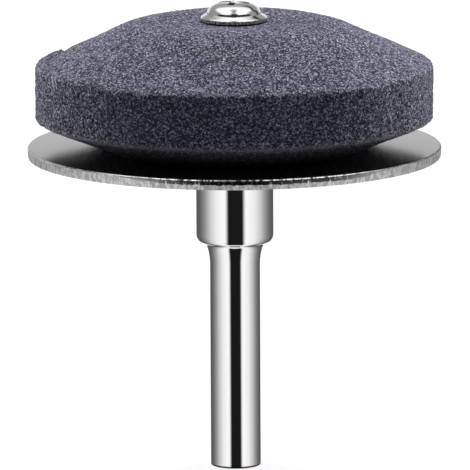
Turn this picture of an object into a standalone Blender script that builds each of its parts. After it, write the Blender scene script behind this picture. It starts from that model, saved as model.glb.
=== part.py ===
"""Blade sharpener for a power drill: a conical grinding stone on a steel guide plate,
clamped to a turned shank by one washer-head screw.

The axis is Z. The shank's end face stands on Z = 0 and the screw is on top.
All lengths are in metres, all angles in degrees.
"""

from math import cos, pi, radians, sin, tan

import bmesh
import bpy

# Shank, one turned piece: shank, neck, collar, and a spigot that carries the rest
SHANK_DIAMETER = 0.00635
SHANK_LENGTH = 0.0284
SHANK_END_CHAMFER = 0.0004
NECK_HEIGHT = 0.0024
NECK_REACH = 0.0010
COLLAR_DIAMETER = 0.0098
COLLAR_HEIGHT = 0.01085
COLLAR_ROUND = 0.0007
COLLAR_CHAMFER = 0.0003
SPIGOT_DIAMETER = 0.0060
SPIGOT_CHAMFER = 0.0003
SPIGOT_SETBACK = 0.0010

# Guide plate, punched from sheet
PLATE_THICKNESS = 0.0013
PLATE_OVERHANG = 0.0010
PLATE_EDGE_ROLL = 0.0002
PLATE_EDGE_TAPER = 0.00006

# Grinding stone
STONE_DIAMETER = 0.0500
STONE_SIDE_HEIGHT = 0.0068
STONE_TOP_ANGLE = 24.5
STONE_CROWN_HEIGHT = 0.0057
STONE_TOP_BLEND = 0.0132
STONE_UNDER_ANGLE = 21.8
STONE_GROOVE_DEPTH = 0.0080
STONE_UPPER_RIM = 0.00055
STONE_LOWER_RIM = 0.00045
STONE_BORE_CHAMFER = 0.0004
STONE_HOLLOW_DEPTH = 0.00025
STONE_HOLLOW_REACH = 0.0045

# Clamp screw, with its thread left plain
SCREW_DIAMETER = 0.0038
SCREW_GRIP = 0.0090
SCREW_TIP_CHAMFER = 0.0005
FLANGE_DIAMETER = 0.0084
FLANGE_THICKNESS = 0.0007
FLANGE_LIP = 0.0008
DOME_HEIGHT = 0.0015
DOME_TOP_FLAT = 0.0011
RECESS_SPAN = 0.0038
RECESS_FOOT = 0.0014
RECESS_SLOT = 0.0008
RECESS_DEPTH = 0.0013
RECESS_TURN = -12.0
HOLE_RUNOUT = 0.0010
DRILL_POINT_ANGLE = 59.0

# Fits: every seat and every bore keeps a hairline of this size
SEAT_GAP = 0.0003
BORE_CLEARANCE = 0.0003
THREAD_CLEARANCE = 0.0003

# Shares of a step or wall that its rounds and chamfers may take when sizes change
NECK_SHARE = 0.58
ROUND_SHARE = 0.41
CHAMFER_SHARE = 0.33

# How far the recess cutter stands up, as a multiple of the recess depth
CUTTER_RISE = 2.0

# Fineness of the turned shapes
WIDE_STEPS = 96
NARROW_STEPS = 40
BLEND_ARC = 6
RIM_ARC = 3
SHARP_ANGLE = 35.0

# Heights and radii that follow from the sizes above
collar_top = SHANK_LENGTH + COLLAR_HEIGHT
plate_bottom = collar_top + SEAT_GAP
plate_top = plate_bottom + PLATE_THICKNESS
stone_bottom = plate_top + SEAT_GAP
stone_radius = STONE_DIAMETER / 2
stone_seat_radius = stone_radius - STONE_GROOVE_DEPTH
stone_lower_rim_z = stone_bottom + STONE_GROOVE_DEPTH * tan(radians(STONE_UNDER_ANGLE))
stone_upper_rim_z = stone_lower_rim_z + STONE_SIDE_HEIGHT
stone_top = stone_upper_rim_z + STONE_CROWN_HEIGHT
plate_radius = stone_radius + PLATE_OVERHANG
spigot_radius = SPIGOT_DIAMETER / 2
spigot_top = stone_top - SPIGOT_SETBACK
bore_radius = spigot_radius + BORE_CLEARANCE
screw_radius = SCREW_DIAMETER / 2
hole_radius = screw_radius + THREAD_CLEARANCE
stone_screw_seat = stone_top - STONE_HOLLOW_DEPTH
screw_seat = stone_screw_seat + SEAT_GAP
screw_tip = spigot_top - SCREW_GRIP
hole_bottom = screw_tip - HOLE_RUNOUT


def clear_scene():
    """Remove whatever the file holds."""
    for old in list(bpy.data.objects):
        bpy.data.objects.remove(old, do_unlink=True)


def new_collection(name):
    """Make a collection in the scene."""
    collection = bpy.data.collections.new(name)
    bpy.context.scene.collection.children.link(collection)
    return collection


def new_material(name, colour, roughness, metallic):
    """Make a Principled material of one colour."""
    material = bpy.data.materials.new(name)
    material.use_nodes = True
    material.diffuse_color = (*colour, 1.0)
    shader = material.node_tree.nodes["Principled BSDF"]
    shader.inputs["Base Color"].default_value = (*colour, 1.0)
    shader.inputs["Roughness"].default_value = roughness
    shader.inputs["Metallic"].default_value = metallic
    return material


def arc(centre, across, along, start, end, pieces):
    """Points of an elliptic arc in the profile's plane, between two angles in degrees."""
    points = []
    for index in range(pieces + 1):
        angle = radians(start + (end - start) * index / pieces)
        points.append((centre[0] + across * cos(angle), centre[1] + along * sin(angle)))
    return points


def corner_blend(corner, before, after, radius, pieces):
    """Round a profile's corner with an arc that is tangent to the two lines through it.

    before and after are the directions, in degrees, in which the profile arrives and leaves.
    """
    turn = radians(after - before)
    side = 1 if turn > 0 else -1
    tangent = radius * tan(abs(turn) / 2)
    start_x = corner[0] - tangent * cos(radians(before))
    start_z = corner[1] - tangent * sin(radians(before))
    centre_x = start_x - side * radius * sin(radians(before))
    centre_z = start_z + side * radius * cos(radians(before))
    first = before - 90 * side
    return arc((centre_x, centre_z), radius, radius, first, first + (after - before), pieces)


def turned(name, profile, steps, closed):
    """Turn a profile of (radius, height) points about Z.

    An open profile starts and ends on the axis. A closed one makes a ring.
    """
    mesh = bpy.data.meshes.new(name)
    edges = [(index, index + 1) for index in range(len(profile) - 1)]
    if closed:
        edges.append((len(profile) - 1, 0))
    mesh.from_pydata([(radius, 0, height) for radius, height in profile], edges, [])
    piece = bpy.data.objects.new(name, mesh)
    screw = piece.modifiers.new("turn", "SCREW")
    screw.angle = 2 * pi
    screw.steps = steps
    screw.render_steps = steps
    screw.use_merge_vertices = True
    screw.merge_threshold = 0.000001
    screw.use_smooth_shade = True
    return piece


def finish(piece, collection, material):
    """Keep the shape that a piece's modifiers give, smooth between sharp edges, in its material."""
    collection.objects.link(piece)
    shaped = piece.evaluated_get(bpy.context.evaluated_depsgraph_get())
    mesh = bpy.data.meshes.new_from_object(shaped)
    piece.modifiers.clear()
    piece.data = mesh
    mesh.name = piece.name
    mesh.shade_smooth()
    mesh.set_sharp_from_angle(angle=radians(SHARP_ANGLE))
    mesh.materials.clear()
    mesh.materials.append(material)


def make_stone():
    """Grinding stone: double cone with an upright side, and a land that dips to the screw's seat."""
    axis_height = STONE_CROWN_HEIGHT / tan(radians(STONE_TOP_ANGLE))
    screw_seat_radius = FLANGE_DIAMETER / 2 + SEAT_GAP
    land_corner = (stone_radius - axis_height, stone_top)
    upper_corner = (stone_radius, stone_upper_rim_z)
    lower_corner = (stone_radius, stone_lower_rim_z)
    profile = [
        (bore_radius + STONE_BORE_CHAMFER, stone_screw_seat),
        (screw_seat_radius, stone_screw_seat),
        (screw_seat_radius + STONE_HOLLOW_REACH, stone_top),
    ]
    profile += corner_blend(land_corner, 0, -STONE_TOP_ANGLE, STONE_TOP_BLEND, BLEND_ARC)
    profile += corner_blend(upper_corner, -STONE_TOP_ANGLE, -90, STONE_UPPER_RIM, RIM_ARC)
    profile += corner_blend(lower_corner, -90, -180 + STONE_UNDER_ANGLE, STONE_LOWER_RIM, RIM_ARC)
    profile += [
        (stone_seat_radius, stone_bottom),
        (bore_radius + STONE_BORE_CHAMFER, stone_bottom),
        (bore_radius, stone_bottom + STONE_BORE_CHAMFER),
        (bore_radius, stone_screw_seat - STONE_BORE_CHAMFER),
    ]
    return turned("grinding_stone", profile, WIDE_STEPS, closed=True)


def make_plate():
    """Guide plate: a blank with a rolled upper edge and the slight taper that the punch leaves."""
    roll_centre = (plate_radius - PLATE_EDGE_ROLL, plate_top - PLATE_EDGE_ROLL)
    profile = arc(roll_centre, PLATE_EDGE_ROLL, PLATE_EDGE_ROLL, 90, 0, RIM_ARC)
    profile += [
        (plate_radius, (plate_top + plate_bottom) / 2),
        (plate_radius - PLATE_EDGE_TAPER, plate_bottom),
        (bore_radius, plate_bottom),
        (bore_radius, plate_top),
    ]
    return turned("guide_plate", profile, WIDE_STEPS, closed=True)


def make_shank():
    """Shank, neck, collar and spigot in one profile, from the tapped hole down to the shank's end."""
    shank_radius = SHANK_DIAMETER / 2
    collar_radius = COLLAR_DIAMETER / 2
    step = collar_radius - shank_radius
    neck_reach = min(NECK_REACH, NECK_SHARE * step)
    collar_round = min(COLLAR_ROUND, ROUND_SHARE * step)
    shoulder = collar_radius - spigot_radius
    collar_chamfer = min(COLLAR_CHAMFER, CHAMFER_SHARE * shoulder)
    spigot_wall = spigot_radius - hole_radius
    spigot_chamfer = min(SPIGOT_CHAMFER, CHAMFER_SHARE * spigot_wall)
    drill_point = hole_radius / tan(radians(DRILL_POINT_ANGLE))
    profile = [
        (0, hole_bottom - drill_point),
        (hole_radius, hole_bottom),
        (hole_radius, spigot_top - spigot_chamfer),
        (hole_radius + spigot_chamfer, spigot_top),
        (spigot_radius - spigot_chamfer, spigot_top),
        (spigot_radius, spigot_top - spigot_chamfer),
        (spigot_radius, collar_top),
        (collar_radius - collar_chamfer, collar_top),
        (collar_radius, collar_top - collar_chamfer),
    ]
    round_centre = (collar_radius - collar_round, SHANK_LENGTH + collar_round)
    profile += arc(round_centre, collar_round, collar_round, 0, -90, RIM_ARC)
    neck_centre = (shank_radius + neck_reach, SHANK_LENGTH - NECK_HEIGHT)
    profile += arc(neck_centre, neck_reach, NECK_HEIGHT, 90, 180, BLEND_ARC)
    profile += [
        (shank_radius, SHANK_END_CHAMFER),
        (shank_radius - SHANK_END_CHAMFER, 0),
        (0, 0),
    ]
    return turned("shank", profile, NARROW_STEPS, closed=False)


def make_recess_wing(name, turn, collection):
    """One wing of the cross recess: a bar that stands above the head and narrows to its foot."""
    height = CUTTER_RISE * RECESS_DEPTH
    mouth = RECESS_FOOT + (RECESS_SPAN - RECESS_FOOT) * height / RECESS_DEPTH
    bar = bmesh.new()
    bmesh.ops.create_cube(bar, size=1)
    for corner in bar.verts:
        corner.co.x *= mouth if corner.co.z > 0 else RECESS_FOOT
        corner.co.y *= RECESS_SLOT
        corner.co.z = (corner.co.z + 0.5) * height
    mesh = bpy.data.meshes.new(name)
    bar.to_mesh(mesh)
    bar.free()
    wing = bpy.data.objects.new(name, mesh)
    wing.location.z = screw_seat + FLANGE_THICKNESS + DOME_HEIGHT - RECESS_DEPTH
    wing.rotation_euler.z = radians(turn)
    wing.hide_render = True
    wing.display_type = "WIRE"
    collection.objects.link(wing)
    return wing


def make_screw(cutters):
    """Clamp screw: domed head on a flange, cross recess, and a plain shaft with a chamfered tip."""
    flange_radius = FLANGE_DIAMETER / 2
    flange_top = screw_seat + FLANGE_THICKNESS
    flange_round = min(FLANGE_THICKNESS, FLANGE_LIP) / 2
    dome_reach = flange_radius - FLANGE_LIP - DOME_TOP_FLAT
    profile = [(0, flange_top + DOME_HEIGHT)]
    profile += arc((DOME_TOP_FLAT, flange_top), dome_reach, DOME_HEIGHT, 90, 0, BLEND_ARC)
    rim_centre = (flange_radius - flange_round, flange_top - flange_round)
    profile += arc(rim_centre, flange_round, flange_round, 90, 0, RIM_ARC)
    profile += [
        (flange_radius, screw_seat),
        (screw_radius, screw_seat),
        (screw_radius, screw_tip + SCREW_TIP_CHAMFER),
        (screw_radius - SCREW_TIP_CHAMFER, screw_tip),
        (0, screw_tip),
    ]
    screw = turned("clamp_screw", profile, NARROW_STEPS, closed=False)
    for name, turn in (("recess_wing_x", RECESS_TURN), ("recess_wing_y", RECESS_TURN + 90)):
        recess = screw.modifiers.new(name, "BOOLEAN")
        recess.operation = "DIFFERENCE"
        recess.solver = "EXACT"
        recess.object = make_recess_wing(name, turn, cutters)
    return screw


def main():
    """Make the four pieces, each in its own material."""
    clear_scene()
    parts = new_collection("drill_sharpening_disc")
    cutters = new_collection("cutters")
    stone = new_material("grey_abrasive", (0.105, 0.107, 0.125), 0.95, 0.0)
    steel = new_material("punched_steel", (0.45, 0.45, 0.45), 0.45, 1.0)
    chrome = new_material("polished_chrome", (0.78, 0.78, 0.78), 0.06, 1.0)
    plated = new_material("bright_zinc", (0.68, 0.68, 0.66), 0.22, 1.0)
    finish(make_shank(), parts, chrome)
    finish(make_plate(), parts, steel)
    finish(make_stone(), parts, stone)
    finish(make_screw(cutters), parts, plated)


main()
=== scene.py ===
"""Dressed pieces of a drill sharpening disc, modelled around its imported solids."""

from math import cos, pi, radians, sin, tan

import bpy
import numpy as np
from bpy.props import FloatProperty, FloatVectorProperty, PointerProperty
from mathutils import Matrix, Vector


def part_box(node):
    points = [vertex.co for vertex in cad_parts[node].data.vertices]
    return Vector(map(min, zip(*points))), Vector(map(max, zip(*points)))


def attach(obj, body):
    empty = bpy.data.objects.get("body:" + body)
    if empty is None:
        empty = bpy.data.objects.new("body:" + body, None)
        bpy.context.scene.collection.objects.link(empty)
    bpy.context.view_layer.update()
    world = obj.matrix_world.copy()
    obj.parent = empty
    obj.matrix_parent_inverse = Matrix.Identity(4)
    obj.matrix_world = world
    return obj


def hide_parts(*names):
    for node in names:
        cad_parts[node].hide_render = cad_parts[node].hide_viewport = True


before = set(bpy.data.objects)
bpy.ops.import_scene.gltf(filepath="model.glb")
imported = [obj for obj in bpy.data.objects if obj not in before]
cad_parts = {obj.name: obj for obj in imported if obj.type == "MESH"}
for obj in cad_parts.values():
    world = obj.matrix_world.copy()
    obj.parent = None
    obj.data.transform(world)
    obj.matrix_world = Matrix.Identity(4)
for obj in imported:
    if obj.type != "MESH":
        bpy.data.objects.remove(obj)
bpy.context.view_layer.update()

bl_info = {
    "name": "Drill sharpening disc",
    "version": (1, 0, 0),
    "blender": (4, 5, 0),
    "location": "View3D > Sidebar > Sharpening disc",
    "description": "Stone, guide plate, shank and clamp screw of a drill sharpening disc",
    "category": "Add Mesh",
}

BODY = "root"

# Where the solids lie
SHANK_LOW, SHANK_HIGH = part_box("shank")
PLATE_LOW, PLATE_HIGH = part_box("guide_plate")
STONE_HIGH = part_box("grinding_stone")[1]
SCREW_LOW, SCREW_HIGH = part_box("clamp_screw")

# Dressed pieces touch, so they close the solids' gaps down to this
CONTACT = 0.00002
# Points this near to each other are one point
TOUCH = 0.000001
# What lies within this of a ring or a face is on it
ON_RING = TOUCH * 5
ON_FACE = TOUCH * 10
# The gap that the solids keep
GAP = 0.0003


def length(description, default):
    """A length that can be set in the sidebar."""
    return FloatProperty(description=description, default=default, unit="LENGTH", precision=5)


def angle(description, degrees):
    """An angle that can be set in the sidebar."""
    return FloatProperty(description=description, default=radians(degrees), subtype="ANGLE")


def colour(description, default):
    """A colour that can be set in the sidebar."""
    return FloatVectorProperty(
        description=description, default=default, subtype="COLOR", min=0, max=1
    )


class StoneSettings(bpy.types.PropertyGroup):
    """Sizes and colours of the grinding stone"""

    top_angle: angle("Slope of the conical top", 24.5)
    crown: length("Height of the conical top", 0.0057)
    blend: length("Radius between cone and land", 0.0132)
    side: length("Height of the upright side", 0.0068)
    under_angle: angle("Slope of the conical underside", 21.8)
    upper_rim: length("Rounding between cone and side", 0.00055)
    lower_rim: length("Rounding between side and underside", 0.00045)
    hollow: length("How deep the land dips", 0.00025)
    hollow_reach: length("How wide the dip is", 0.0045)
    bore: length("Radius of the hole for the spigot", 0.0033)
    grain: length("Size of one abrasive grain", 0.00018)
    clump: length("Size of a clump of grains", 0.00060)
    relief: length("How far clumps stand out", 0.00007)
    bond: colour("Bond between the grains", (0.022, 0.023, 0.037))
    abrasive: colour("Common grains", (0.180, 0.184, 0.244))
    pale: colour("Few light grains", (0.52, 0.53, 0.62))
    rust: colour("Rare brown grains", (0.16, 0.125, 0.095))
    spark: colour("Rare bright grains", (0.80, 0.80, 0.78))
    shadow: colour("Grains below the lower rim", (0.008, 0.008, 0.009))
    # Painted highlight: a light line of grains along the lower rim
    rim_highlight: colour("Light line along the lower rim", (0.40, 0.40, 0.42))
    stain: colour("Brown stain on the upper rim", (0.050, 0.044, 0.035))
    scratch: colour("Scratches on the side", (0.50, 0.50, 0.47))


class PlateSettings(bpy.types.PropertyGroup):
    """Sizes and colours of the guide plate"""

    roll: length("Rounding of the upper edge", 0.00025)
    burnish: length("Height of the smooth band", 0.00062)
    taper: length("How far the torn band leans in", 0.00006)
    bore: length("Radius of the hole for the spigot", 0.0033)
    steel: colour("Rolled faces", (0.40, 0.40, 0.40))
    torn: colour("Lower band of the edge", (0.82, 0.82, 0.815))
    # Painted dark reflection on the burnished band, where the edge faces the camera
    dark: colour("Upper band of the edge", (0.055, 0.055, 0.056))
    # Painted highlight along the rolled top of the edge, where it faces the camera
    lip: colour("Worn lip over the burnished band", (0.72, 0.72, 0.72))
    # Painted shade line under the highlight on the lip
    seam: colour("Dark line under the lip", (0.12, 0.12, 0.12))


class ShankSettings(bpy.types.PropertyGroup):
    """Sizes and colour of the shank"""

    radius: length("Radius of the shank", 0.003175)
    run: length("Height of the collar's lower edge", 0.02862)
    end_round: length("Rounding of the shank's end", 0.00027)
    neck_height: length("Height of the hollow under the collar", 0.0030)
    neck_reach: length("Width of the hollow under the collar", 0.0010)
    collar_round: length("Width of the collar's lower round", 0.0006)
    collar_rise: length("Height of the collar's lower round", 0.0010)
    under_slope: length("How far its underside falls inward", 0.00004)
    collar_chamfer: length("Chamfer under the plate", 0.0002)
    spigot: length("Radius of the spigot", 0.0030)
    hole: length("Radius of the screw's hole", 0.0022)
    hole_depth: length("Depth of the screw's hole", 0.0100)
    drill_point: angle("Half angle of the hole's bottom", 59.0)
    chrome: colour("Plating", (0.80, 0.80, 0.805))
    # Painted dark reflection and contact shade on the chamfer round the foot
    foot: colour("Dark line round the foot", (0.03, 0.03, 0.03))


class ScrewSettings(bpy.types.PropertyGroup):
    """Sizes and colour of the clamp screw"""

    flange: length("Thickness of the flange", 0.00105)
    flange_fall: length("How far the flange's top falls outward", 0.00032)
    lip: length("How far the flange stands out past the dome", 0.00080)
    crown_flat: length("Radius of the flat on the dome", 0.0010)
    recess_span: length("Width across the cross recess", 0.0042)
    recess_foot: length("Width across the recess at its bottom", 0.0014)
    recess_slot: length("Width of one wing of the recess", 0.0008)
    recess_depth: length("Depth of the recess", 0.0013)
    recess_turn: angle("How far the recess is turned", -12.0)
    thread: length("Outer radius of the thread", 0.0019)
    pitch: length("Thread pitch", 0.0007)
    thread_depth: length("Depth of the thread", 0.00035)
    plating: colour("Bright zinc", (0.74, 0.74, 0.735))
    flange_dark: colour("Dark patches on the flange", (0.16, 0.16, 0.15))
    flange_light: colour("Light patches on the flange", (0.66, 0.67, 0.63))
    # Painted contact shadow where the flange sits
    contact_shadow: colour("Dark line where the flange sits", (0.015, 0.015, 0.015))
    # Painted shade inside the cross recess
    inside: colour("Inside of the cross recess", (0.04, 0.04, 0.04))


class StageSettings(bpy.types.PropertyGroup):
    """Camera and light"""

    distance: length("From the camera to the part's middle", 1.5)
    aim_height: length("Height that the camera looks at", 0.0294)
    aim_side: length("Side step that the camera looks at", 0.00002)
    pitch: angle("How far the camera looks down", 9.95)
    roll: angle("Turn about the line of sight", -0.265)
    lens: FloatProperty(description="Focal length in mm", default=912.8)
    floor: length("Half width of the floor", 1.5)


class DiscSettings(bpy.types.PropertyGroup):
    """All settings of the drill sharpening disc"""

    stone: PointerProperty(type=StoneSettings)
    plate: PointerProperty(type=PlateSettings)
    shank: PointerProperty(type=ShankSettings)
    screw: PointerProperty(type=ScrewSettings)
    stage: PointerProperty(type=StageSettings)


# Shader maths


def grey(level):
    """A colour without hue."""
    return (level, level, level)


def tinted(shade, share):
    """A colour made darker or lighter."""
    return tuple(share * part for part in shade)


def above(base, *rises):
    """Heights this far above a base."""
    return [base + rise for rise in rises]


def below(top, *depths):
    """Heights this far below a top, or radii this far inside a rim."""
    return [top - depth for depth in depths]


def method(operation, swapped=False):
    """A method that puts a Math node between its two sides."""

    def between(self, other):
        sides = (other, self) if swapped else (self, other)
        return self.maths(operation, *sides)

    return between


class Value:
    """A socket of a node tree. Sums on it add Math nodes."""

    def __init__(self, paint, socket):
        self.paint = paint
        self.socket = socket

    def maths(self, operation, *values):
        """A Math node over these values."""
        return self.paint.node("Math", {"operation": operation}, dict(enumerate(values)))

    def __abs__(self):
        return self.maths("ABSOLUTE", self)

    __add__ = method("ADD")
    __radd__ = method("ADD", swapped=True)
    __sub__ = method("SUBTRACT")
    __rsub__ = method("SUBTRACT", swapped=True)
    __mul__ = method("MULTIPLY")
    __truediv__ = method("DIVIDE")
    __pow__ = method("POWER")
    __gt__ = method("GREATER_THAN")
    __lt__ = method("LESS_THAN")


class Paint:
    """A node tree that nodes are added to one by one."""

    def __init__(self, tree):
        self.tree = tree

    def feed(self, node, inputs):
        """Link or set a node's sockets."""
        for name, given in inputs.items():
            if isinstance(given, Value):
                self.tree.links.new(given.socket, node.inputs[name])
            else:
                node.inputs[name].default_value = given

    def surface(self, **inputs):
        """Feed the Principled shader. Underscores in the names stand for spaces."""
        named = {name.replace("_", " "): given for name, given in inputs.items()}
        self.feed(self.tree.nodes["Principled BSDF"], named)

    def node(self, kind, settings=None, inputs=None, output=0):
        """Add a shader node, set it up, feed its sockets and give one of its outputs."""
        made = self.tree.nodes.new("ShaderNode" + kind)
        for name, setting in (settings or {}).items():
            if name == "stops":
                self.fill_ramp(made.color_ramp, setting)
            else:
                setattr(made, name, setting)
        self.feed(made, inputs or {})
        return Value(self, made.outputs[output]) if made.outputs else None

    def fill_ramp(self, ramp, stops):
        """Give a colour ramp its stops, each a place and a grey."""
        while len(ramp.elements) < len(stops):
            ramp.elements.new(1.0)
        for element, (place, level) in zip(ramp.elements, stops):
            element.position = place
            element.color = self.opaque(grey(level))

    def place(self):
        """Object coordinates."""
        return self.node("TexCoord", output="Object")

    def split(self, vector, axis):
        """One coordinate of a vector."""
        return self.node("SeparateXYZ", inputs={0: vector}, output=axis)

    def axes(self, vector):
        """All three coordinates of a vector."""
        return [self.split(vector, axis) for axis in "XYZ"]

    def from_axis(self, vector):
        """Distance from the part's axis."""
        across, along = self.axes(vector)[:2]
        return (across * across + along * along) ** 0.5

    def noise(self, vector, size, detail=2.0, rough=0.5):
        """Noise with features of about this size, from 0 to 1."""
        inputs = {"Vector": vector, "Scale": 1 / size, "Detail": detail, "Roughness": rough}
        return self.node("TexNoise", inputs=inputs)

    def stretch(self, vector, scale):
        """Coordinates scaled along each axis."""
        return self.node("Mapping", inputs={"Vector": vector, "Scale": scale})

    def smooth(self, value, low, high):
        """0 below low, 1 above high, and a smooth step between."""
        settings = {"interpolation_type": "SMOOTHSTEP"}
        inputs = {"Value": value, "From Min": low, "From Max": high}
        return self.node("MapRange", settings, inputs)

    def fade(self, value, low, high):
        """1 below low, 0 above high, and a smooth step between."""
        return 1 - self.smooth(value, low, high)

    def band(self, value, start, full, fading, end):
        """1 from full to fading, and smoothly down to 0 at the start and at the end."""
        return self.smooth(value, start, full) * self.fade(value, fading, end)

    def mix(self, share, first, second):
        """Two colours mixed."""
        inputs = {0: share, 6: self.opaque(first), 7: self.opaque(second)}
        return self.node("Mix", {"data_type": "RGBA"}, inputs, output=2)

    def opaque(self, shade):
        """A colour as a socket takes it."""
        return shade if isinstance(shade, Value) else (*shade, 1.0)

    def spot(self, vector, centre, scale, inner, outer):
        """1 near a place and 0 away from it, with its own reach along each axis."""
        kind = "VectorMath"
        apart = self.node(kind, {"operation": "SUBTRACT"}, {0: vector, 1: centre})
        scaled = self.node(kind, {"operation": "MULTIPLY"}, {0: apart, 1: scale})
        away = self.node(kind, {"operation": "LENGTH"}, {0: scaled}, output="Value")
        return self.fade(away, inner, outer)

    def bump(self, height, depth):
        """A normal from a height between 0 and 1, with this depth in metres."""
        inputs = {"Height": height, "Distance": depth, "Strength": 1.0}
        return self.node("Bump", inputs=inputs, output="Normal")


def new_material(name):
    """A material with a Principled shader, and the paint for its node tree."""
    material = bpy.data.materials.new(name)
    material.use_nodes = True
    return material, Paint(material.node_tree)


def blank_paint(holder):
    """The paint for the emptied node tree of a material or a world."""
    holder.use_nodes = True
    holder.node_tree.nodes.clear()
    return Paint(holder.node_tree)


# Broad patches of the abrasive, and where its grains turn light and glint
PATCHES = (0.006, 2.0)
LIGHT_RANGE = (0.50, 0.82)
GLINT_RANGE = (0.78, 0.90)
# Draws between 0 and 1 that make a grain brown or a spark
BROWN_ABOVE = 0.965
SPARK_BELOW = 0.004
# The painted shade below the lower rim, and half the width of the painted highlight along it
SHADOW_DEPTHS = (0.0001, 0.0011)
RIM_HIGHLIGHT_WIDTH = (0.00016, 0.00046)
# The brown stain: its place, how it is narrowed along each axis and its reach
STAIN_PLACE = (-0.0177, -0.0172, 0.0512)
STAIN_SCALE = (0.45, 0.45, 1.1)
STAIN_REACH = (0.0003, 0.0011)
# Scratches: places across the side, slant, half width, and start and stop over the lower rim
SCRATCHES = (-0.0215, -0.0211)
SCRATCH_SLANT = 0.18
SCRATCH_WIDTH = (0.00004, 0.00011)
SCRATCH_START = (0.0054, 0.0058)
SCRATCH_STOP = 0.0069


def mark_stone(paint, place, fine, stone, grained):
    """Painted shade below the lower rim, a painted highlight along it, the stain and the
    scratches, over the grains.
    """
    across, along, level = paint.axes(place)
    lower_z = STONE_HIGH.z - stone.crown - stone.side
    shaded = paint.smooth(lower_z - level, *SHADOW_DEPTHS) * 0.6
    marked = paint.mix(shaded, grained, stone.shadow)
    # A painted highlight: lighter grains along the lower rim
    rim = paint.fade(abs(level - lower_z), *RIM_HIGHLIGHT_WIDTH)
    marked = paint.mix(rim * paint.smooth(fine, 0.44, 0.60) * 0.75, marked, stone.rim_highlight)
    stain = paint.spot(place, STAIN_PLACE, STAIN_SCALE, *STAIN_REACH)
    marked = paint.mix(stain * paint.smooth(fine, 0.34, 0.60) * 0.85, marked, stone.stain)
    for scratch_x in SCRATCHES:
        line = across - scratch_x + (level - lower_z) * SCRATCH_SLANT
        thin = paint.fade(abs(line), *SCRATCH_WIDTH)
        start = paint.smooth(level, *above(lower_z, *SCRATCH_START))
        span = start * (level < lower_z + SCRATCH_STOP)
        broken = paint.smooth(fine, 0.38, 0.52)
        marked = paint.mix(thin * span * (along < 0.0) * broken, marked, stone.scratch)
    return marked


def stone_material(stone):
    """Fired abrasive: dark bond, grey-violet grains, pale glints and a few brown grains."""
    material, paint = new_material("fired_abrasive")
    place = paint.place()
    cells = {"Vector": place, "Scale": 1 / stone.grain, "Randomness": 1.0}
    chance = paint.node("TexVoronoi", inputs=cells, output="Color")
    draw = paint.node("SeparateColor", inputs={0: chance}, output=0)
    second_draw = paint.node("SeparateColor", inputs={0: chance}, output=1)
    distance = paint.node("TexVoronoi", inputs=cells, output="Distance")
    fine = paint.noise(place, stone.grain * 0.9, 3.0, 0.65)
    broad = paint.noise(place, *PATCHES)
    tone = draw * 0.5 + fine * 0.9 + broad * 0.15 - distance * 0.25
    body = paint.mix(paint.smooth(tone, *LIGHT_RANGE), stone.bond, stone.abrasive)
    glint = paint.smooth(draw * 0.5 + fine * 0.8, *GLINT_RANGE)
    speckled = paint.mix(glint, body, stone.pale)
    browned = paint.mix((second_draw > BROWN_ABOVE) * 0.6, speckled, stone.rust)
    grained = paint.mix(second_draw < SPARK_BELOW, browned, stone.spark)
    height = fine * 0.5 + draw * 0.5 - distance * 0.4
    paint.surface(
        Base_Color=mark_stone(paint, place, fine, stone, grained),
        Roughness=0.92 - glint * 0.35,
        Normal=paint.bump(height, stone.grain * 0.45),
        Specular_IOR_Level=0.35,
    )
    return material


# Noise on the edge as size, detail and roughness, and how some is drawn out upward
STREAKS = (0.00022, 3.0, 0.7)
BLOTCHES = (0.00055, 3.0, 0.65)
RAGGED = (0.0011, 4.0, 0.65)
STREAK_SCALE = (1.0, 1.0, 0.22)
BLOTCH_SCALE = (1.0, 1.0, 0.6)
# How far the feet of the burnished band and of the painted highlight on the lip wander, and how
# soft the band's is
BAND_WANDER = 0.0006
LIP_HIGHLIGHT_WANDER = 0.0001
BAND_BLUR = 0.00004
# Depths at which the painted highlight on the lip and the painted shade line under it start and
# are full
LIP_HIGHLIGHT_DEPTHS = (0.00028, 0.00018)
SHADE_LINE_DEPTHS = (0.00020, 0.00014)
# How far to the camera's right the edge looks straight at it
FACING_SHIFT = 0.0025
# Noise on the rolled faces, their tint at grazing angles, and the depth of relief
MOTTLE = (0.0018, 4.0, 0.6)
ROLLED = (0.00022, 3.0, 0.7)
FACE_TINT = 0.76
PLATE_RELIEF = 0.00006


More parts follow.
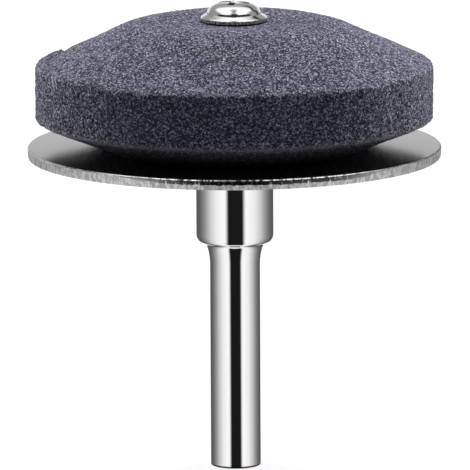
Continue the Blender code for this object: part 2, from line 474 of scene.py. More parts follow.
def punched_edge(paint, place, plate):
    """The edge's colour, roughness and relief: lip with a painted highlight, burnished band with a
    painted dark reflection, and grey torn band.
    """
    height = paint.split(place, "Z")
    streaks = paint.noise(paint.stretch(place, STREAK_SCALE), *STREAKS)
    blotch = paint.noise(paint.stretch(place, BLOTCH_SCALE), *BLOTCHES)
    wander = paint.noise(place, *RAGGED) - 0.5
    # Facing is 1 where the edge looks straight at the camera. It places the painted reflection,
    # highlight and shade line
    sideways = paint.split(place, "X") - FACING_SHIFT
    facing = 1 - sideways * sideways / PLATE_HIGH.x**2
    band_foot = PLATE_HIGH.z - plate.burnish * 1.1
    low = band_foot + wander * BAND_WANDER + paint.fade(facing, 0.45, 0.85) * BAND_WANDER
    burnished = paint.smooth(height - low, -BAND_BLUR, BAND_BLUR)
    torn_dark = tinted(plate.torn, 0.72)
    torn_tone = paint.smooth(streaks * 0.35 + blotch * 0.65, 0.38, 0.60)
    torn = paint.mix(torn_tone, torn_dark, tinted(plate.torn, 1.20))
    smears = paint.smooth(blotch * 0.6 + streaks * 0.4, 0.53, 0.62)
    # A painted dark reflection: the burnished band is dark where it faces the camera and lighter
    # towards the sides
    dark_reflection = paint.mix(paint.smooth(facing, 0.58, 0.90), torn_dark, plate.dark)
    banded = paint.mix(burnished, torn, paint.mix(smears * 0.8, dark_reflection, plate.torn))
    # A painted highlight on the lip, only where the edge faces the camera
    lip = paint.smooth(height + wander * LIP_HIGHLIGHT_WANDER, *below(PLATE_HIGH.z, *LIP_HIGHLIGHT_DEPTHS))
    lip = lip * paint.smooth(blotch, 0.42, 0.54) * paint.smooth(facing, 0.48, 0.62)
    # A painted shade line under the lip, on the flanks of the edge as the camera sees them
    seam = paint.smooth(height, *below(PLATE_HIGH.z, *SHADE_LINE_DEPTHS))
    seam = seam * paint.smooth(blotch, 0.40, 0.50) * paint.band(facing, 0.10, 0.20, 0.38, 0.50)
    shade = paint.mix(seam * 0.8, paint.mix(lip, banded, plate.lip), plate.seam)
    return shade, 0.6 - burnished * 0.3 - lip * 0.1, streaks * (1 - burnished)


def plate_material(plate):
    """Punched sheet: grained rolled faces, and an edge with a burnished and a torn band."""
    material, paint = new_material("punched_steel")
    place = paint.place()
    roll = below(PLATE_HIGH.x, plate.roll * 1.1, plate.roll * 0.5)
    edge = paint.smooth(paint.from_axis(place), *roll)
    grain = paint.noise(place, *ROLLED)
    tone = paint.noise(place, *MOTTLE) * 0.5 + grain * 0.5
    rolled = paint.mix(tone, tinted(plate.steel, 0.80), tinted(plate.steel, 1.20))
    face_gloss = 0.19 + (tone - 0.5) * 0.10
    edge_shade, edge_gloss, edge_relief = punched_edge(paint, place, plate)
    paint.surface(
        Base_Color=paint.mix(edge, rolled, edge_shade),
        Metallic=1.0,
        Specular_Tint=paint.opaque(grey(FACE_TINT)),
        Roughness=face_gloss * (1 - edge) + edge_gloss * edge,
        Normal=paint.bump(edge_relief * edge + grain * 0.06, PLATE_RELIEF),
    )
    return material


# Turning marks and haze on the chrome, and the painted dark reflection and contact shade round its
# foot
MARKS = (0.00010, 2.0)
MARK_SCALE = (0.05, 0.05, 1.0)
MARK_DEPTH = 0.0000002
HAZE = (0.0025, 3.0)
FOOT_REFLECTION_LINE = (0.00022, 0.00034)


def chrome_material(shank):
    """Polished chrome with faint turning marks and a trace of haze."""
    material, paint = new_material("polished_chrome")
    place = paint.place()
    marks = paint.noise(paint.stretch(place, MARK_SCALE), *MARKS)
    haze = paint.noise(place, *HAZE)
    plated = paint.mix(haze, tinted(shank.chrome, 0.985), shank.chrome)
    # A painted dark reflection and contact shade on the chamfer round the foot
    foot = paint.fade(paint.split(place, "Z"), *above(SHANK_LOW.z, *FOOT_REFLECTION_LINE))
    paint.surface(
        Base_Color=paint.mix(foot, plated, shank.foot),
        Metallic=1.0,
        Roughness=0.045 + haze * 0.03,
        Normal=paint.bump(marks, MARK_DEPTH),
    )
    return material


# Noise on the screw: mottled plating, dark and light patches on the flange's side, fine relief
PLATING = (0.0007, 3.0, 0.6)
SIDE_PATCHES = (0.00028, 2.0, 0.6)
FINE = (0.00012, 2.0)
FINE_DEPTH = 0.0000015
# How far in from its rim the flange's side counts, and how ragged its marks are
SIDE_DEPTHS = (0.00001, 0.00005)
RAGGED_RISE = 0.00016
# The painted contact shadow over the seat, and the painted shade in the recess
CONTACT_SHADOW_LINE = (0.00014, 0.00024)
RECESS_SHADE_DEPTHS = (0.00045, 0.0003)
RECESS_SHADE_RADIUS = 0.0021


def plated_material(screw, seat):
    """Bright zinc, a little soft, with a rough side on the flange darkened in patches, a painted
    contact shadow at its seat and painted shade in the recess.
    """
    material, paint = new_material("bright_zinc")
    place = paint.place()
    height = paint.split(place, "Z")
    reach = paint.from_axis(place)
    mottle = paint.noise(place, *PLATING)
    plated = paint.mix(mottle, tinted(screw.plating, 0.88), screw.plating)
    ragged = height + (mottle - 0.5) * RAGGED_RISE
    side_top = above(seat, screw.flange * 0.50, screw.flange * 0.62)
    # The lower half of the flange's side is darker, in dark and light patches
    side = paint.fade(SCREW_HIGH.x - reach, *SIDE_DEPTHS) * paint.fade(ragged, *side_top)
    patches = paint.smooth(paint.noise(place, *SIDE_PATCHES), 0.38, 0.62)
    patched_side = paint.mix(side, plated, paint.mix(patches, screw.flange_dark, screw.flange_light))
    # A painted contact shadow just over the seat
    contact_shadow = paint.fade(ragged, *above(seat, *CONTACT_SHADOW_LINE))
    seated = paint.mix(contact_shadow, patched_side, screw.contact_shadow)
    # Painted shade inside the cross recess
    inside = paint.fade(height, *below(SCREW_HIGH.z, *RECESS_SHADE_DEPTHS)) * (reach < RECESS_SHADE_RADIUS)
    paint.surface(
        Base_Color=paint.mix(inside, seated, screw.inside),
        Metallic=1.0,
        Roughness=0.10 + mottle * 0.10 + side * 0.25,
        Normal=paint.bump(paint.noise(place, *FINE), FINE_DEPTH),
    )
    return material


# Modelling


# Weights of pushed points are rounded to this many levels
WEIGHT_LEVELS = 255
# Edges count as alike where their lengths agree to one metre over this
LENGTH_PARTS = 1e5


def enter(mode):
    """Go to edit mode or to object mode."""
    bpy.ops.object.mode_set(mode=mode)


def clear_selection():
    """Deselect every object and leave edit mode."""
    if bpy.context.object:
        enter("OBJECT")
    bpy.ops.object.select_all(action="DESELECT")


def start_piece(name):
    """Name a new primitive and put its place in its mesh."""
    piece = bpy.context.object
    piece.name = name
    piece.data.name = name
    bpy.ops.object.transform_apply(location=True, rotation=True, scale=True)
    return piece


def point_places(piece):
    """Places of a piece's points, and how far each is from the axis."""
    places = np.empty(len(piece.data.vertices) * 3, np.float32)
    piece.data.vertices.foreach_get("co", places)
    places = places.reshape(-1, 3)
    return places, np.hypot(places[:, 0], places[:, 1])


def edge_ends(piece):
    """Both ends of every edge, with their radius and height."""
    mesh = piece.data
    places, radius = point_places(piece)
    ends = np.empty(len(mesh.edges) * 2, np.int32)
    mesh.edges.foreach_get("vertices", ends)
    ends = ends.reshape(-1, 2)
    return ends, radius[ends], places[:, 2][ends]


def select_edges(piece, chosen):
    """Go from object mode to edit mode with only these edges selected."""
    mesh = piece.data
    ends = edge_ends(piece)[0]
    points = np.zeros(len(mesh.vertices), bool)
    points[ends[chosen].ravel()] = True
    mesh.vertices.foreach_set("select", points)
    mesh.edges.foreach_set("select", chosen)
    mesh.polygons.foreach_set("select", np.zeros(len(mesh.polygons), bool))
    enter("EDIT")
    bpy.ops.mesh.select_mode(type="EDGE")


def select_ring(piece, radius, height):
    """Select the ring of edges at this radius and height."""
    enter("OBJECT")
    radii, heights = edge_ends(piece)[1:]
    near = (abs(radii - radius) < ON_RING) & (abs(heights - height) < ON_RING)
    select_edges(piece, near.all(axis=1))


def extrude_ring(start, end):
    """Extrude the selected ring from one radius and height to another."""
    rise = end[1] - start[1]
    bpy.ops.mesh.extrude_region_move(TRANSFORM_OT_translate={"value": (0, 0, rise)})
    grow = end[0] / start[0]
    bpy.ops.transform.resize(value=(grow, grow, 1), center_override=(0, 0, end[1]))


def turn_profile(name, profile, sides):
    """Model a turned piece from a circle that is extruded and scaled from ring to ring."""
    clear_selection()
    radius, height = profile[0]
    bpy.ops.mesh.primitive_circle_add(
        vertices=sides, radius=radius, fill_type="NOTHING", location=(0, 0, height)
    )
    piece = start_piece(name)
    enter("EDIT")
    bpy.ops.mesh.select_mode(type="EDGE")
    bpy.ops.mesh.select_all(action="SELECT")
    for start, end in zip(profile, profile[1:]):
        extrude_ring(start, end)
    return piece


def close_piece(piece):
    """Merge rings that meet, cap open ends and turn the faces outward."""
    bpy.ops.mesh.select_all(action="SELECT")
    bpy.ops.mesh.remove_doubles(threshold=TOUCH)
    bpy.ops.mesh.select_all(action="DESELECT")
    bpy.ops.mesh.select_non_manifold()
    bpy.ops.mesh.fill_holes(sides=0)
    bpy.ops.mesh.select_all(action="SELECT")
    bpy.ops.mesh.normals_make_consistent(inside=False)
    enter("OBJECT")


def round_ring(piece, radius, height, offset, segments):
    """Bevel one ring into an arc that starts this far from it."""
    select_ring(piece, radius, height)
    bpy.ops.mesh.bevel(offset=offset, segments=segments, profile=0.5, clamp_overlap=False)


def edge_runs(piece):
    """Radii and heights of every edge's ends, and how far each edge runs along the profile."""
    radii, heights = edge_ends(piece)[1:]
    return radii, heights, np.hypot(radii[:, 0] - radii[:, 1], heights[:, 0] - heights[:, 1])


def refine(piece, spacing, coarse_spacing, is_coarse):
    """Cut rings into the long faces along the profile until they are about this long."""
    enter("OBJECT")
    runs = edge_runs(piece)[2]
    for run in np.unique(np.round(runs * LENGTH_PARTS)) / LENGTH_PARTS:
        radii, heights, runs = edge_runs(piece)
        chosen = abs(runs - run) < 1 / LENGTH_PARTS
        hidden = is_coarse(radii[chosen].mean(), heights[chosen].mean())
        wanted = coarse_spacing if hidden else spacing
        cuts = round(run / wanted) - 1
        if cuts < 1:
            continue
        select_edges(piece, chosen)
        bpy.ops.mesh.subdivide(number_cuts=cuts)
        enter("OBJECT")


def apply_all(piece):
    """Apply a piece's modifiers."""
    bpy.context.view_layer.objects.active = piece
    for modifier in list(piece.modifiers):
        bpy.ops.object.modifier_apply(modifier=modifier.name)


def step(values, low, high):
    """0 below low, 1 above high, and a smooth step between, for arrays."""
    share = np.clip((values - low) / (high - low), 0, 1)
    return share * share * (3 - 2 * share)


def push(piece, name, weights, depth, direction="NORMAL", texture=None, middle=0.0):
    """Add a modifier that displaces the weighted points of a piece, evenly or by a texture."""
    group = piece.vertex_groups.new(name=name)
    levels = np.rint(np.clip(weights, 0, 1) * WEIGHT_LEVELS).astype(int)
    for level in np.unique(levels[levels > 0]):
        group.add(np.flatnonzero(levels == level).tolist(), level / WEIGHT_LEVELS, "REPLACE")
    displace = piece.modifiers.new(name, "DISPLACE")
    displace.direction = direction
    displace.texture = texture
    displace.texture_coords = "LOCAL"
    displace.strength = depth
    displace.mid_level = middle
    displace.vertex_group = name


def dress(piece, node, material, smooth_angle):
    """Give a finished piece its material and its body, and hide the solid that it stands for."""
    clear_selection()
    piece.select_set(True)
    bpy.context.view_layer.objects.active = piece
    bpy.ops.object.shade_smooth_by_angle(angle=smooth_angle)
    piece.data.materials.clear()
    piece.data.materials.append(material)
    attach(piece, BODY)
    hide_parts(node)


def arc(centre, across, along, start, end, pieces):
    """Points of an elliptic arc of a profile, between two angles in degrees."""
    points = []
    for index in range(pieces + 1):
        turn = radians(start + (end - start) * index / pieces)
        points.append((centre[0] + across * cos(turn), centre[1] + along * sin(turn)))
    return points


# Grinding stone


STONE_SIDES = 560
BLEND_ARC = 14
RIM_ARC = 4
# Length of the faces along the profile, where they show and where they are hidden
STONE_SPACING = 0.00027
STONE_COARSE = 0.0020
# The worn side: which way it faces, its start round the cone and its depths below the rim
WORN_X, WORN_Y = (-0.95, 0.3)
WORN_ROUND = (0.35, 0.80)
WORN_DEPTHS = (0.003, 0.0002)
# Degrees from the camera's left round to the back where the ledge gives way to a fall
BEHIND = (24, 27)
# Steps of the worn side: name, stretch, radii of its start and full rise, and rise
WORN_STEPS = (
    ("worn_side", "all", 0.0095, 0.0190, -0.00024),
    ("groove", "all", 0.0208, 0.0230, -0.00042),
    ("ledge", "front", 0.0234, 0.0239, 0.00068),
    ("fallen", "back", 0.0220, 0.0240, -0.00015),
)
# Bites out of the upper rim: degrees round it, drop below its corner, reach and depth
BITES = ((221.5, 0.0000, 0.0009, 0.00035), (0.0, 0.0001, 0.0005, 0.00020))


def stone_rings(stone):
    """Corner rings of the stone, from the top of the bore round to its bottom."""
    radius = STONE_HIGH.x
    seat_z = PLATE_HIGH.z + CONTACT
    upper_z = STONE_HIGH.z - stone.crown
    lower_z = upper_z - stone.side
    screw_seat = STONE_HIGH.z - stone.hollow
    return {
        "bore_top": (stone.bore, screw_seat),
        "dip": (SCREW_HIGH.x + GAP, screw_seat),
        "dip_rim": (SCREW_HIGH.x + GAP + stone.hollow_reach, STONE_HIGH.z),
        "land": (radius - stone.crown / tan(stone.top_angle), STONE_HIGH.z),
        "upper": (radius, upper_z),
        "lower": (radius, lower_z),
        "seat": (radius - (lower_z - seat_z) / tan(stone.under_angle), seat_z),
        "bore_bottom": (stone.bore, seat_z),
    }


def block_out_stone(stone):
    """Start from a cylinder, draw both ends in to cones and open the bore."""
    rings = stone_rings(stone)
    clear_selection()
    bpy.ops.mesh.primitive_cylinder_add(
        vertices=STONE_SIDES,
        radius=rings["upper"][0],
        depth=stone.side,
        location=(0, 0, (rings["upper"][1] + rings["lower"][1]) / 2),
        end_fill_type="NOTHING",
    )
    piece = start_piece("stone_dressed")
    for names in (
        ("upper", "land", "dip_rim", "dip", "bore_top"),
        ("lower", "seat", "bore_bottom", "bore_top"),
    ):
        select_ring(piece, *rings[names[0]])
        for start, end in zip(names, names[1:]):
            extrude_ring(rings[start], rings[end])
    bpy.ops.mesh.select_all(action="SELECT")
    bpy.ops.mesh.remove_doubles(threshold=TOUCH)
    bpy.ops.mesh.normals_make_consistent(inside=False)
    return piece, rings


def shape_stone(piece, rings, stone):
    """Blend the land into the cone, round both rims and cut the faces small."""
    blend = stone.blend * tan(stone.top_angle / 2)
    upper = stone.upper_rim * tan((pi / 2 - stone.top_angle) / 2)
    lower = stone.lower_rim * tan((pi / 2 - stone.under_angle) / 2)
    round_ring(piece, *rings["land"], blend, BLEND_ARC)
    round_ring(piece, *rings["upper"], upper, RIM_ARC)
    round_ring(piece, *rings["lower"], lower, RIM_ARC)
    seat_z = rings["seat"][1]

    def is_hidden(radius, height):
        return height < seat_z + ON_FACE or radius < stone.bore + ON_FACE

    refine(piece, STONE_SPACING, STONE_COARSE, is_hidden)


def wear_side(piece, rings):
    """Lower one side of the cone, as an uneven mould leaves it, up to a ledge by the rim."""
    places, radius = point_places(piece)
    side = (places[:, 0] * WORN_X + places[:, 1] * WORN_Y) / np.maximum(radius, TOUCH)
    worn = step(side, *WORN_ROUND) * step(places[:, 2], *below(rings["upper"][1], *WORN_DEPTHS))
    behind = step(np.degrees(np.arctan2(places[:, 1], -places[:, 0])), *BEHIND)
    stretches = {"all": 1.0, "front": 1 - behind, "back": behind}
    for name, stretch, start, full, rise in WORN_STEPS:
        push(piece, name, worn * step(radius, start, full) * stretches[stretch], rise, "Z")


def bite_rims(piece, rings):
    """Break small bites out of the upper rim."""
    places = point_places(piece)[0]
    radius, height = rings["upper"]
    for index, (turn, drop, reach, depth) in enumerate(BITES):
        centre = (radius * cos(radians(turn)), radius * sin(radians(turn)), height - drop)
        away = np.linalg.norm(places - centre, axis=1) / reach
        push(piece, f"bite_{index}", np.exp(-away * away), -depth)


def roughen_stone(piece, stone):
    """Stand the grains out of the surface and wear the rims unevenly."""
    places, radius = point_places(piece)
    off_seat = places[:, 2] > PLATE_HIGH.z + CONTACT * 3
    open_face = step(radius, SCREW_HIGH.x, SCREW_HIGH.x + GAP) * off_seat
    rims = open_face * (radius > STONE_HIGH.x - stone.upper_rim * 1.6)
    for name, points, kind, size, depth, middle in (
        ("swell", open_face, "CLOUDS", 0.0060, 0.00016, 0.5),
        ("chips", rims, "CLOUDS", 0.0011, 0.00022, 0.62),
        ("grain", open_face, "VORONOI", stone.clump, -stone.relief * 1.6, 0.35),
        ("grit", open_face, "CLOUDS", stone.clump * 0.6, stone.relief, 0.5),
    ):
        texture = bpy.data.textures.new(name, kind)
        texture.noise_scale = size
        push(piece, name, points, depth, texture=texture, middle=middle)
    apply_all(piece)
    piece.vertex_groups.clear()


class MESH_OT_sharpener_stone(bpy.types.Operator):
    """Model the grinding stone, with its cones, rims, bore and grain"""

    bl_idname = "mesh.sharpener_stone"
    bl_label = "Grinding stone"

    def execute(self, context):
        stone = context.scene.sharpening_disc.stone
        piece, rings = block_out_stone(stone)
        shape_stone(piece, rings, stone)
        enter("OBJECT")
        wear_side(piece, rings)
        bite_rims(piece, rings)
        roughen_stone(piece, stone)
        dress(piece, "grinding_stone", stone_material(stone), pi)
        return {"FINISHED"}


# Guide plate


PLATE_SIDES = 320
ROLL_ARC = 5
# Width and height of the break along the plate's lower edge
BREAK_WIDTH = 0.00004
BREAK_HEIGHT = 0.00003


class MESH_OT_sharpener_plate(bpy.types.Operator):
    """Model the punched guide plate with its rolled, burnished and torn edge"""

    bl_idname = "mesh.sharpener_plate"
    bl_label = "Guide plate"

    def execute(self, context):
        plate = context.scene.sharpening_disc.plate
        radius = PLATE_HIGH.x
        top = PLATE_HIGH.z
        bottom = PLATE_LOW.z
        middle = top - plate.burnish
        torn = radius - plate.taper
        half_way = radius * 0.5
        roll = plate.roll
        profile = [(plate.bore, top), (half_way, top)]
        profile += arc((radius - roll, top - roll), roll, roll, 90, 0, ROLL_ARC)
        profile += [
            (radius, middle),
            (radius - plate.taper * 0.5, (middle + bottom) / 2),
            (torn, bottom + BREAK_HEIGHT),
            (torn - BREAK_WIDTH, bottom),
            (half_way, bottom),
            (plate.bore, bottom),
            (plate.bore, top),
        ]
        piece = turn_profile("plate_dressed", profile, PLATE_SIDES)
        close_piece(piece)
        dress(piece, "guide_plate", plate_material(plate), radians(40))
        return {"FINISHED"}


# Shank


SHANK_SIDES = 160
COLLAR_ARC = 10
NECK_ARC = 16
END_ARC = 5
SPIGOT_CHAMFER = 0.0003


class MESH_OT_sharpener_shank(bpy.types.Operator):
    """Model the turned shank, with its neck, collar, spigot and screw hole"""

    bl_idname = "mesh.sharpener_shank"
    bl_label = "Shank"

    def execute(self, context):
        shank = context.scene.sharpening_disc.shank
        foot = SHANK_LOW.z + TOUCH
        top = SHANK_HIGH.z
        collar = SHANK_HIGH.x
        collar_top = PLATE_LOW.z - CONTACT
        hole_bottom = top - shank.hole_depth
        tip = hole_bottom - shank.hole / tan(shank.drill_point)
        tip_radius = shank.hole * 0.02
        chamfer = SPIGOT_CHAMFER
        mouth = shank.hole + chamfer * 0.8
        profile = [
            (tip_radius, tip),
            (shank.hole, hole_bottom),
            (shank.hole, top - chamfer),
            (mouth, top),
            (shank.spigot - chamfer, top),
            (shank.spigot, top - chamfer),
            (shank.spigot, collar_top),
            (collar - shank.collar_chamfer, collar_top),
            (collar, collar_top - shank.collar_chamfer),
        ]
        edge = shank.run + shank.under_slope
        turn_in = (collar - shank.collar_round, edge + shank.collar_rise)
        profile += arc(turn_in, shank.collar_round, shank.collar_rise, 0, -90, COLLAR_ARC)
        neck = (shank.radius + shank.neck_reach, shank.run - shank.neck_height)
        profile += arc(neck, shank.neck_reach, shank.neck_height, 90, 180, NECK_ARC)
        end_turn = (shank.radius - shank.end_round, foot + shank.end_round)
        profile += arc(end_turn, shank.end_round, shank.end_round, 0, -90, END_ARC)
        piece = turn_profile("shank_dressed", profile, SHANK_SIDES)
        close_piece(piece)
        dress(piece, "shank", chrome_material(shank), radians(30))
        return {"FINISHED"}


# Clamp screw


SCREW_SIDES = 96
DOME_ARC = 16
LIP_ARC = 6
# Degrees over level where the rounding of the flange's rim starts
LIP_TOP = 65
# The break on the flange's lower edge, the tip's taper and the plain shaft by the head
FLANGE_BREAK = 0.00008
TIP_TAPER = 0.0005
PLAIN_SHAFT = 0.001
# The thread: rings for each turn, steepness of its flanks and flatness of its root
THREAD_RINGS = 8
FLANK_SLOPE = 2.4
ROOT_FLAT = 0.1
# Widths of a recess wing at its top and at its foot, as shares of its slot
WING_TOP = 1.15
WING_FOOT = 0.8


def cut_thread(piece, screw, low, high):
    """Press a helix into the screw's plain shaft."""
    places, radius = point_places(piece)
    turn = np.arctan2(places[:, 1], places[:, 0]) / (2 * pi)
    phase = (places[:, 2] / screw.pitch - turn) % 1.0
    flank = np.clip(abs(phase - 0.5) * FLANK_SLOPE - ROOT_FLAT, 0, 1)
    fade = np.clip((high - places[:, 2]) / screw.pitch, 0, 1)
    fade *= np.clip((places[:, 2] - low) / screw.pitch, 0, 1)
    on_shaft = (abs(radius - screw.thread) < ON_FACE) & (places[:, 2] < high)
    push(piece, "thread", flank * fade * on_shaft, -screw.thread_depth)
    apply_all(piece)
    piece.vertex_groups.clear()


def recess_wing(screw, turn):
    """One tapered wing of the cross recess, as a cutter."""
    clear_selection()
    height = screw.recess_depth * 2
    centre_z = SCREW_HIGH.z
    foot_z = centre_z - height / 2
    span = screw.recess_span * 2 - screw.recess_foot
    bpy.ops.mesh.primitive_cube_add(size=1, location=(0, 0, centre_z))
    wing = bpy.context.object
    wing.scale = (span, screw.recess_slot * WING_TOP, height)
    bpy.ops.object.transform_apply(location=True, rotation=False, scale=True)
    mesh = wing.data
    low_points = [vertex.co.z < centre_z for vertex in mesh.vertices]
    low_faces = [face.center.z < foot_z + ON_FACE for face in mesh.polygons]
    mesh.vertices.foreach_set("select", low_points)
    mesh.edges.foreach_set("select", [False] * len(mesh.edges))
    mesh.polygons.foreach_set("select", low_faces)
    enter("EDIT")
    bpy.ops.mesh.select_mode(type="FACE")
    shrink = screw.recess_foot / span
    bpy.ops.transform.resize(value=(shrink, WING_FOOT, 1), center_override=(0, 0, foot_z))
    enter("OBJECT")
    wing.rotation_euler.z = turn
    bpy.ops.object.transform_apply(location=False, rotation=True, scale=False)
    return wing


class MESH_OT_sharpener_screw(bpy.types.Operator):
    """Model the clamp screw, with its flange, dome, cross recess and thread"""

    bl_idname = "mesh.sharpener_screw"
    bl_label = "Clamp screw"

    def execute(self, context):
        screw = context.scene.sharpening_disc.screw
        radius = SCREW_HIGH.x
        seat = STONE_HIGH.z - context.scene.sharpening_disc.stone.hollow + CONTACT
        flange_top = seat + screw.flange
        top = SCREW_HIGH.z
        shaft_low = SCREW_LOW.z + TIP_TAPER
        lip_round = screw.flange * 0.25
        centre = screw.crown_flat * 0.2
        reach = radius - screw.lip - screw.crown_flat
        profile = [(centre, top)]
        profile += arc((screw.crown_flat, flange_top), reach, top - flange_top, 90, 0, DOME_ARC)
        shoulder = (radius - lip_round, flange_top - screw.flange_fall - lip_round)
        profile += arc(shoulder, lip_round, lip_round, LIP_TOP, 0, LIP_ARC)
        profile += [
            (radius, seat + FLANGE_BREAK),
            (radius - FLANGE_BREAK, seat),
            (screw.thread, seat),
            (screw.thread, shaft_low),
            (screw.thread - TIP_TAPER, SCREW_LOW.z),
        ]
        piece = turn_profile("screw_dressed", profile, SCREW_SIDES)
        close_piece(piece)
        enter("EDIT")

        def is_head_or_tip(radius, height):
            return height > seat - ON_FACE or height < shaft_low or radius < screw.thread * 0.95

        refine(piece, screw.pitch / THREAD_RINGS, 1.0, is_head_or_tip)
        cut_thread(piece, screw, shaft_low, seat - PLAIN_SHAFT)
        wings = [recess_wing(screw, screw.recess_turn + turn) for turn in (0, pi / 2)]
        for wing in wings:
            cut = piece.modifiers.new("wing", "BOOLEAN")
            cut.object = wing
            cut.solver = "EXACT"
        apply_all(piece)
        for wing in wings:
            bpy.data.objects.remove(wing)
        dress(piece, "clamp_screw", plated_material(screw, seat), radians(30))
        return {"FINISHED"}


# Stage


# Brightness round the part by turn from the camera, as a share of half a turn: below the
# horizon and above it
TENT = (
    (0.0, 0.012), (0.116, 0.012), (0.172, 1.20), (0.250, 1.15), (0.333, 1.04),
    (0.417, 0.80), (0.467, 0.66), (0.511, 0.50), (0.556, 0.38), (0.617, 0.265),
    (0.667, 0.195), (0.740, 0.13), (0.890, 0.10), (0.910, 0.95),
)
UPPER_TENT = (
    (0.0, 0.03), (0.07, 0.03), (0.12, 1.60), (0.34, 1.50), (0.44, 0.45), (0.62, 0.38), (1.0, 0.42),
)
# Height of what upright metal mirrors to the camera, and how the view below it spreads
CAMERA_DIP = -0.173
DIP_SPREAD = 0.58
# How far the dark gap lies to the camera's right, as a share of half a turn
GAP_TURN = 0.010
# Brightness of parts of the sky, and the soft light on all that doesn't mirror it
SOFTBOX = 1.45
GAP_LIGHT = 0.42
CEILING = 0.55
FRONT = 0.03
STRIP = 0.02
WHITE = 1.0
AMBIENT = (0.084, 0.092, 0.134)


def sky(paint, look, turn):
    """What metal sees over the horizon: a softbox with a gap, a ceiling, dark parts and strips."""
    across, away, height = paint.axes(look)
    tent = paint.node("ValToRGB", {"stops": UPPER_TENT}, {0: abs(turn)})
    behind = paint.smooth(away, 0.42, 0.62)
    gap = paint.fade(abs(across), 0.06, 0.18) * paint.fade(away, -0.05, 0.25)
    overhead = paint.smooth(height, 0.60, 0.74)
    front_low = paint.fade(height, 0.38, 0.50) * paint.fade(abs(turn), 0.38, 0.46)
    back_low = paint.fade(height, 0.24, 0.34) * paint.smooth(abs(turn), 0.72, 0.82)
    upright = paint.band(turn, 0.61, 0.64, 0.69, 0.72) * paint.fade(height, 0.60, 0.66)
    level = paint.band(height, 0.58, 0.62, 0.70, 0.74) * paint.band(turn, 0.63, 0.67, 0.90, 0.94)
    softbox = paint.mix(gap, grey(SOFTBOX), grey(GAP_LIGHT))
    ceiling = paint.mix(behind, softbox, grey(CEILING))
    sides = paint.mix(front_low, paint.mix(back_low, tent, grey(WHITE)), grey(FRONT))
    lit = paint.mix(overhead, sides, ceiling)
    return paint.mix(upright.maths("MAXIMUM", upright, level), lit, grey(STRIP))


def studio_world():
    """White to the camera. Metal sees a light tent with dark gaps, the stone sees soft light."""
    world = bpy.data.worlds.new("studio")
    bpy.context.scene.world = world
    paint = blank_paint(world)
    look = paint.node("TexCoord", output="Generated")
    across, away, height = paint.axes(look)
    dip = CAMERA_DIP - height
    spread = (height < CAMERA_DIP) * dip * dip * DIP_SPREAD
    turn = across.maths("ARCTAN2", across, spread - away) / pi - GAP_TURN
    tent = paint.node("ValToRGB", {"stops": TENT}, {0: abs(turn)})
    over_horizon = paint.smooth(height, -0.10, -0.02)
    round_about = paint.mix(over_horizon, tent, sky(paint, look, turn))
    table = paint.smooth(0 - height, 0.968, 0.990)
    gloss_view = paint.mix(table, round_about, grey(WHITE))
    is_camera = paint.node("LightPath", output="Is Camera Ray")
    is_glossy = paint.node("LightPath", output="Is Glossy Ray")
    seen = paint.mix(is_glossy, AMBIENT, gloss_view)
    shade = paint.mix(is_camera, seen, grey(WHITE))
    background = paint.node("Background", inputs={"Color": shade, "Strength": 1.0})
    paint.node("OutputWorld", inputs={"Surface": background})


# Name, place, size and power of each lamp, and the share of the part's height they aim at
LAMPS = (
    ("lamp_top", (0.08, 0.10, 0.75), 0.45, 5.0),
    ("lamp_left", (-0.49, 0.30, 0.14), 0.25, 3.2),
    ("lamp_right", (0.49, 0.30, 0.14), 0.25, 3.2),
)
LAMP_AIM = 0.75


def add_lamps():
    """Soft light from above and both sides, which metal doesn't mirror."""
    target = Vector((0, 0, SCREW_HIGH.z * LAMP_AIM))
    for name, place, size, power in LAMPS:
        lamp = bpy.data.lights.new(name, "AREA")
        lamp.size = size
        lamp.energy = power
        holder = bpy.data.objects.new(name, lamp)
        bpy.context.scene.collection.objects.link(holder)
        holder.location = place
        holder.rotation_euler = (target - holder.location).to_track_quat("-Z", "Y").to_euler()
        holder.visible_camera = False
        holder.visible_glossy = False


# The painted shade round the shank's foot, where the floor's own light is lower, the floor's grey
# and own light in it and past it, and its grey to the part
FOOT_SHADE = (0.004, 0.009)
FLOOR_GREYS = (0.55, 0.12)
FLOOR_LIGHTS = (0.76, 0.95)
PLAIN_GREY = 0.2


def floor_material():
    """White to the camera from above, with the part's soft shadow on it and a painted shade round
    the shank's foot.
    """
    material = bpy.data.materials.new("white_floor")
    paint = blank_paint(material)
    away = paint.smooth(paint.from_axis(paint.place()), *FOOT_SHADE)
    floor_grey = paint.mix(away, *map(grey, FLOOR_GREYS))
    own_light = paint.mix(away, *map(grey, FLOOR_LIGHTS))
    matt = paint.node("BsdfDiffuse", inputs={"Color": floor_grey})
    glow = paint.node("Emission", inputs={"Color": own_light, "Strength": 1.0})
    lit = paint.node("AddShader", inputs={0: matt, 1: glow})
    plain_grey = paint.opaque(grey(PLAIN_GREY))
    plain = paint.node("BsdfDiffuse", inputs={"Color": plain_grey})
    is_camera = paint.node("LightPath", output="Is Camera Ray")
    shown = paint.node("MixShader", inputs={0: is_camera, 1: plain, 2: lit})
    clear = paint.node("BsdfTransparent")
    underside = paint.node("NewGeometry", output="Backfacing")
    surface = paint.node("MixShader", inputs={0: underside, 1: shown, 2: clear})
    paint.node("OutputMaterial", inputs={"Surface": surface})
    return material


def add_floor(half_width):
    """A plain floor under the shank, which metal doesn't mirror."""
    clear_selection()
    bpy.ops.mesh.primitive_plane_add(size=half_width * 2, location=(0, 0, SHANK_LOW.z))
    floor = start_piece("floor")
    floor.data.materials.append(floor_material())
    floor.visible_glossy = False


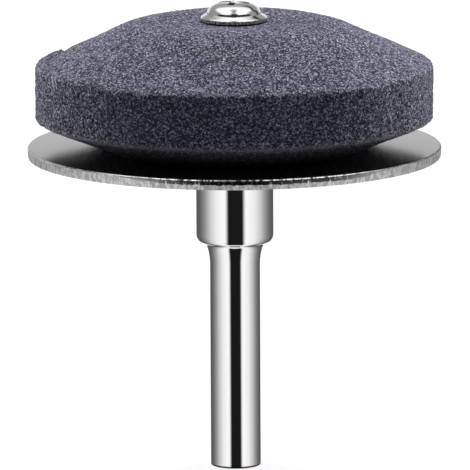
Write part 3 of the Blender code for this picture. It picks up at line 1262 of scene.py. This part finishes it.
def add_camera(stage):
    """A camera at the photograph's distance and angle."""
    camera = bpy.data.objects.new("camera", bpy.data.cameras.new("camera"))
    bpy.context.scene.collection.objects.link(camera)
    aim = Vector((stage.aim_side, 0, stage.aim_height))
    back = Vector((0, -cos(stage.pitch), sin(stage.pitch)))
    level = (-back).to_track_quat("-Z", "Y").to_matrix().to_4x4()
    tilt = Matrix.Rotation(stage.roll, 4, "Z")
    camera.matrix_world = Matrix.Translation(aim + back * stage.distance) @ level @ tilt
    camera.data.lens = stage.lens
    camera.data.clip_start = 0.01
    camera.data.clip_end = 10.0
    bpy.context.scene.camera = camera


class SCENE_OT_sharpener_stage(bpy.types.Operator):
    """Set up the camera, the white floor and the soft studio light"""

    bl_idname = "scene.sharpener_stage"
    bl_label = "Stage"

    def execute(self, context):
        stage = context.scene.sharpening_disc.stage
        add_camera(stage)
        add_floor(stage.floor)
        add_lamps()
        studio_world()
        context.scene.view_settings.view_transform = "Standard"
        return {"FINISHED"}


class VIEW3D_PT_sharpener(bpy.types.Panel):
    """Lists the pieces of the drill sharpening disc"""

    bl_label = "Sharpening disc"
    bl_space_type = "VIEW_3D"
    bl_region_type = "UI"
    bl_category = "Sharpening disc"

    def draw(self, context):
        for group, operator in PIECES:
            box = self.layout.box()
            settings = getattr(context.scene.sharpening_disc, group)
            for name in settings.bl_rna.properties.keys():
                if name not in ("rna_type", "name"):
                    box.prop(settings, name, text=name.replace("_", " ").capitalize())
            box.operator(operator)


PIECES = (
    ("stage", "scene.sharpener_stage"),
    ("shank", "mesh.sharpener_shank"),
    ("plate", "mesh.sharpener_plate"),
    ("stone", "mesh.sharpener_stone"),
    ("screw", "mesh.sharpener_screw"),
)

CLASSES = (
    StoneSettings,
    PlateSettings,
    ShankSettings,
    ScrewSettings,
    StageSettings,
    DiscSettings,
    SCENE_OT_sharpener_stage,
    MESH_OT_sharpener_shank,
    MESH_OT_sharpener_plate,
    MESH_OT_sharpener_stone,
    MESH_OT_sharpener_screw,
    VIEW3D_PT_sharpener,
)


def register():
    for made in CLASSES:
        bpy.utils.register_class(made)
    bpy.types.Scene.sharpening_disc = PointerProperty(type=DiscSettings)


def unregister():
    del bpy.types.Scene.sharpening_disc
    for made in reversed(CLASSES):
        bpy.utils.unregister_class(made)


def main():
    """Register the add-on and build every piece."""
    register()
    bpy.ops.scene.sharpener_stage()
    bpy.ops.mesh.sharpener_shank()
    bpy.ops.mesh.sharpener_plate()
    bpy.ops.mesh.sharpener_stone()
    bpy.ops.mesh.sharpener_screw()


if __name__ == "__main__":
    main()
